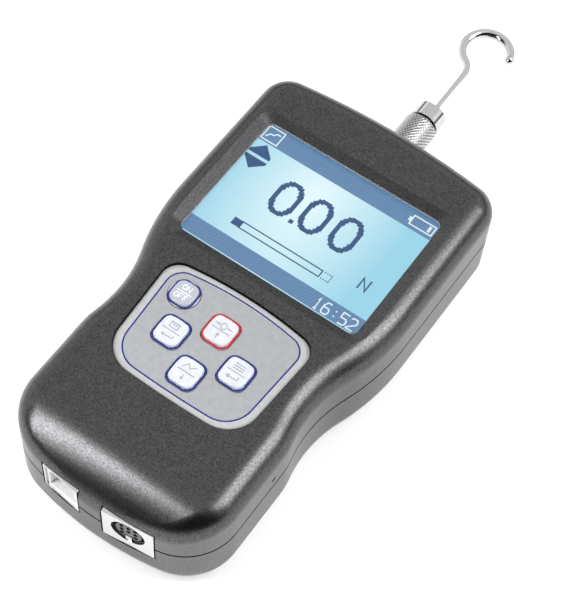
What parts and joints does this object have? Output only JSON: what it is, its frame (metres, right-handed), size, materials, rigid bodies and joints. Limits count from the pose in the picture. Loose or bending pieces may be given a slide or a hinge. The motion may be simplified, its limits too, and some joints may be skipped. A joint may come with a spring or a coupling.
{
  "type": "digital force gauge",
  "caption": "Hand-held digital force gauge with a waisted grey case, lit display, round-cornered keypad, side-by-side sockets, knurled sleeve and hook.",
  "frame": {"origin": "centre of the overall box in plan, on the rear face of the case", "axes": "+Z out of the display, +Y along the load line towards the hook, +X to the right when the display is read with the hook up"},
  "size_m": [0.073, 0.1935, 0.0342],
  "materials": {
    "case_paint": "dark metallic grey paint with a fine sparkle on die-cast alloy",
    "window": "clear",
    "lcd_glass": "lit display",
    "white_plastic": "matte",
    "backlight": "white diffuser",
    "keypad_film": "printed silver-grey film",
    "board": "green solder mask on glass fibre",
    "steel": "bright",
    "black_plastic": "matte",
    "socket_metal": "bright plated sheet",
    "ivory_plastic": "matte",
    "grey_plastic": "matte",
    "cell_aluminium": "machined",
    "gauge_film": "amber film",
    "bush_brass": "machined",
    "insert_brass": "machined",
    "cell_wrap": "shrink sleeve",
    "chrome": "polished plating",
    "key_white": "glossy",
    "key_silver": "silver"
  },
  "bodies": {
    "base": {"front_shell": "case_paint", "rear_shell": "case_paint", "display_window": "window", "lcd_panel": "lcd_glass", "lcd_frame": "white_plastic", "backlight": "backlight", "keypad_overlay": "keypad_film", "main_board": "board", "board_screws": "steel", "key_switches": "black_plastic", "reset_switch": "black_plastic", "usb_shield": "socket_metal", "usb_core": "ivory_plastic", "din_shield": "socket_metal", "din_core": "grey_plastic", "load_cell": "cell_aluminium", "strain_gauges": "gauge_film", "cell_bracket": "cell_aluminium", "cell_screws": "steel", "bracket_screws": "steel", "shaft_bush": "bush_brass", "case_screws": "steel", "mount_inserts": "insert_brass", "cell_cradle": "black_plastic", "battery_cells": "cell_wrap"},
    "shaft": {"load_shaft": "steel", "shaft_nut": "steel"},
    "sleeve": {"knurled_sleeve": "chrome"},
    "hook": {"hook_collar": "chrome", "hook_wire": "chrome"},
    "zero_key": {"key_zero": "key_white"},
    "left_key": {"key_left": "key_white"},
    "right_key": {"key_right": "key_white"},
    "lower_key": {"key_lower": "key_white"},
    "power_key": {"key_power": "key_silver"}
  },
  "joints": [
    {"name": "load_travel", "type": "slide", "parent": "base", "child": "shaft", "axis": [0, 1, 0], "range_m": [-0.00025, 0.00025], "stiffness_N_per_m": 40000},
    {"name": "sleeve_turn", "type": "hinge", "parent": "shaft", "child": "sleeve", "pos_m": [0, 0.046, 0.0135], "axis": [0, 1, 0], "continuous": true},
    {"name": "hook_turn", "type": "hinge", "parent": "shaft", "child": "hook", "pos_m": [0, 0.057, 0.0135], "axis": [0, 1, 0], "continuous": true},
    {"name": "zero_press", "type": "slide", "parent": "base", "child": "zero_key", "axis": [0, 0, -1], "range_m": [0, 0.00035], "stiffness_N_per_m": 5000},
    {"name": "left_press", "type": "slide", "parent": "base", "child": "left_key", "axis": [0, 0, -1], "range_m": [0, 0.00035], "stiffness_N_per_m": 5000},
    {"name": "right_press", "type": "slide", "parent": "base", "child": "right_key", "axis": [0, 0, -1], "range_m": [0, 0.00035], "stiffness_N_per_m": 5000},
    {"name": "lower_press", "type": "slide", "parent": "base", "child": "lower_key", "axis": [0, 0, -1], "range_m": [0, 0.00035], "stiffness_N_per_m": 5000},
    {"name": "power_press", "type": "slide", "parent": "base", "child": "power_key", "axis": [0, 0, -1], "range_m": [0, 0.00035], "stiffness_N_per_m": 5000}
  ]
}
